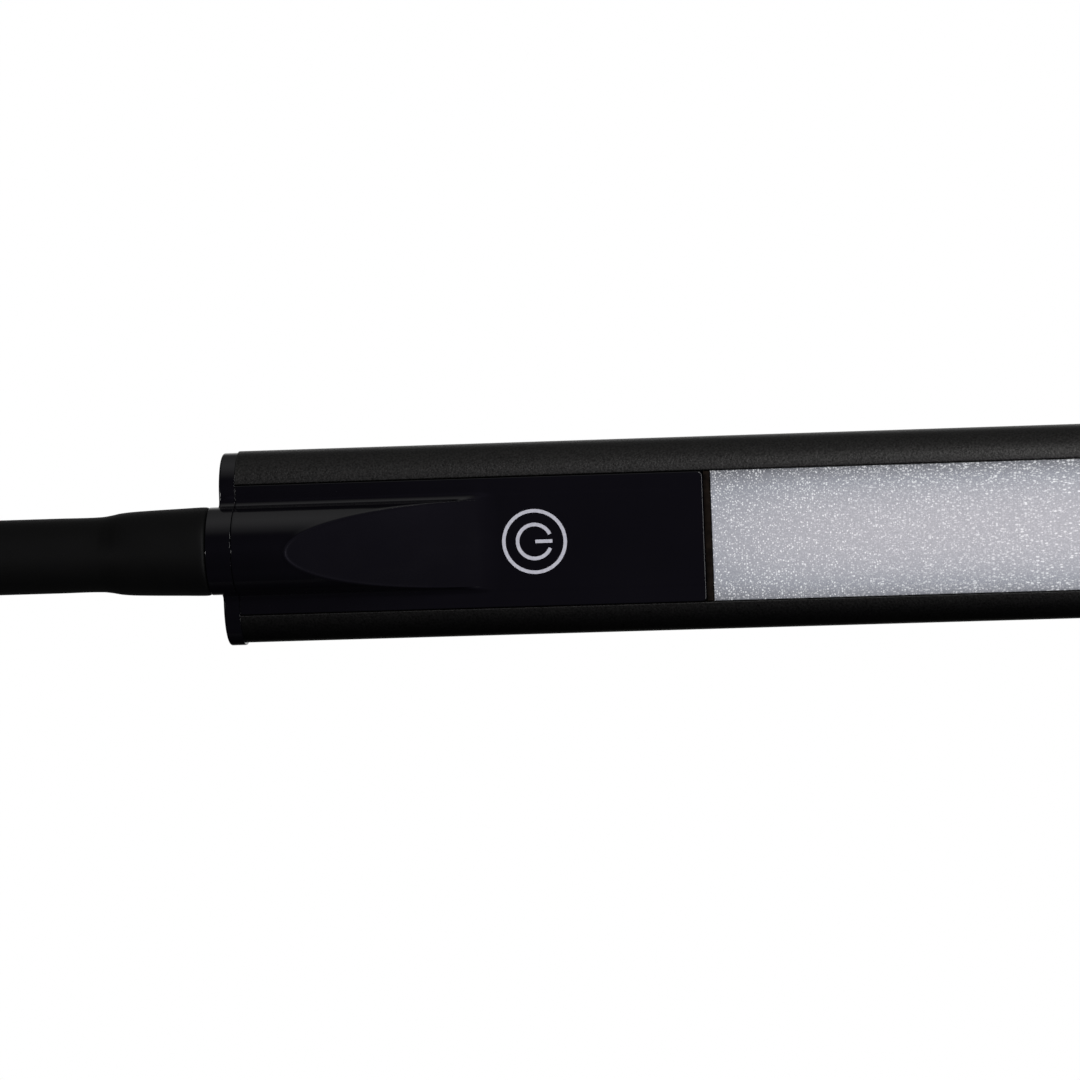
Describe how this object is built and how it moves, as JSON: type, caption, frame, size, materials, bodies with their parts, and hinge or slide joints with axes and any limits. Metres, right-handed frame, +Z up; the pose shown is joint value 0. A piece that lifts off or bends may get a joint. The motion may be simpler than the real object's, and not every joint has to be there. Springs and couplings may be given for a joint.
{
  "type": "reading floor lamp",
  "caption": "Floor lamp with a round weighted base, a straight pole, a flexible gooseneck and a slim LED bar head with a touch switch.",
  "frame": {"origin": "centre of the base's underside, on the floor", "axes": "+Z up along the pole; the neck bends towards +X, and the light face looks towards -Y"},
  "size_m": [0.6791, 0.2413, 1.2112],
  "materials": {
    "powder_black": "fine matte black powder coat",
    "anodised_black": "sand-blasted black anodised aluminium",
    "gloss_black": "glossy black moulded plastic",
    "skin_black": "matte black silicone skin",
    "diffuser_frost": "frosted prismatic acrylic",
    "print_grey": "light grey screen print",
    "cast_iron": "raw cast iron",
    "zinc_steel": "zinc-plated steel",
    "core_steel": "wound steel",
    "joiner_steel": "black plated steel",
    "brass": "plain brass",
    "foam_black": "closed-cell foam",
    "jack_black": "moulded black plastic",
    "lead_grey": "PVC jacket",
    "lead_red": "PVC jacket",
    "copper": "plain copper",
    "board_green": "solder mask",
    "board_white": "white solder mask on aluminium",
    "led_yellow": "phosphor",
    "screw_black": "black oxide"
  },
  "bodies": {
    "stand": {"base_weight": "cast_iron", "base_cover": "powder_black", "base_plate": "zinc_steel", "base_pad": "foam_black", "plate_screws": "zinc_steel", "base_nipple": "brass", "base_nut": "brass", "base_washer": "zinc_steel", "pole_foot": "powder_black", "dc_jack": "jack_black", "dc_jack_nut": "zinc_steel", "pole_lower": "powder_black", "pole_middle": "powder_black", "pole_upper": "powder_black", "pole_joiners": "joiner_steel", "neck_mount": "powder_black", "neck_set_screw": "zinc_steel", "supply_lead": "lead_grey", "neck_base_ferrule": "zinc_steel", "neck_core_0": "core_steel", "neck_skin_0": "skin_black"},
    "neck_link_1": {"neck_core_1": "core_steel", "neck_skin_1": "skin_black", "neck_lead_1": "lead_grey"},
    "neck_link_2": {"neck_core_2": "core_steel", "neck_skin_2": "skin_black", "neck_lead_2": "lead_grey"},
    "neck_link_3": {"neck_core_3": "core_steel", "neck_skin_3": "skin_black", "neck_lead_3": "lead_grey"},
    "neck_link_4": {"neck_core_4": "core_steel", "neck_skin_4": "skin_black", "neck_lead_4": "lead_grey"},
    "neck_link_5": {"neck_core_5": "core_steel", "neck_skin_5": "skin_black", "neck_lead_5": "lead_grey"},
    "neck_link_6": {"neck_core_6": "core_steel", "neck_skin_6": "skin_black", "neck_lead_6": "lead_grey"},
    "head": {"neck_core_7": "core_steel", "neck_skin_7": "skin_black", "neck_lead_7": "lead_grey", "neck_end_ferrule": "zinc_steel", "neck_nut": "brass", "head_cap": "gloss_black", "head_housing": "anodised_black", "touch_panel": "gloss_black", "power_symbol": "print_grey", "touch_electrode": "copper", "control_board": "board_green", "head_leads": "lead_red", "led_board": "board_white", "leds": "led_yellow", "diffuser": "diffuser_frost", "far_cap": "gloss_black", "cap_screws": "screw_black"}
  },
  "joints": [
    {"name": "neck_sway_1", "type": "hinge", "parent": "stand", "child": "neck_link_1", "pos_m": [0, 0, 1.042], "axis": [1, 0, 0], "range_deg": [-18, 18]},
    {"name": "neck_bend_2", "type": "hinge", "parent": "neck_link_1", "child": "neck_link_2", "pos_m": [0.00511, 0, 1.08082], "axis": [0, 1, 0], "range_deg": [-30, 25]},
    {"name": "neck_sway_3", "type": "hinge", "parent": "neck_link_2", "child": "neck_link_3", "pos_m": [0.0201, 0, 1.117], "axis": [0.866, 0, -0.5], "range_deg": [-18, 18]},
    {"name": "neck_bend_4", "type": "hinge", "parent": "neck_link_3", "child": "neck_link_4", "pos_m": [0.04393, 0, 1.14807], "axis": [0, 1, 0], "range_deg": [-30, 25]},
    {"name": "neck_sway_5", "type": "hinge", "parent": "neck_link_4", "child": "neck_link_5", "pos_m": [0.075, 0, 1.1719], "axis": [0.5, 0, -0.866], "range_deg": [-18, 18]},
    {"name": "neck_bend_6", "type": "hinge", "parent": "neck_link_5", "child": "neck_link_6", "pos_m": [0.11118, 0, 1.18689], "axis": [0, 1, 0], "range_deg": [-30, 25]},
    {"name": "neck_sway_7", "type": "hinge", "parent": "neck_link_6", "child": "head", "pos_m": [0.15, 0, 1.192], "axis": [0, 0, -1], "range_deg": [-18, 18]}
  ]
}
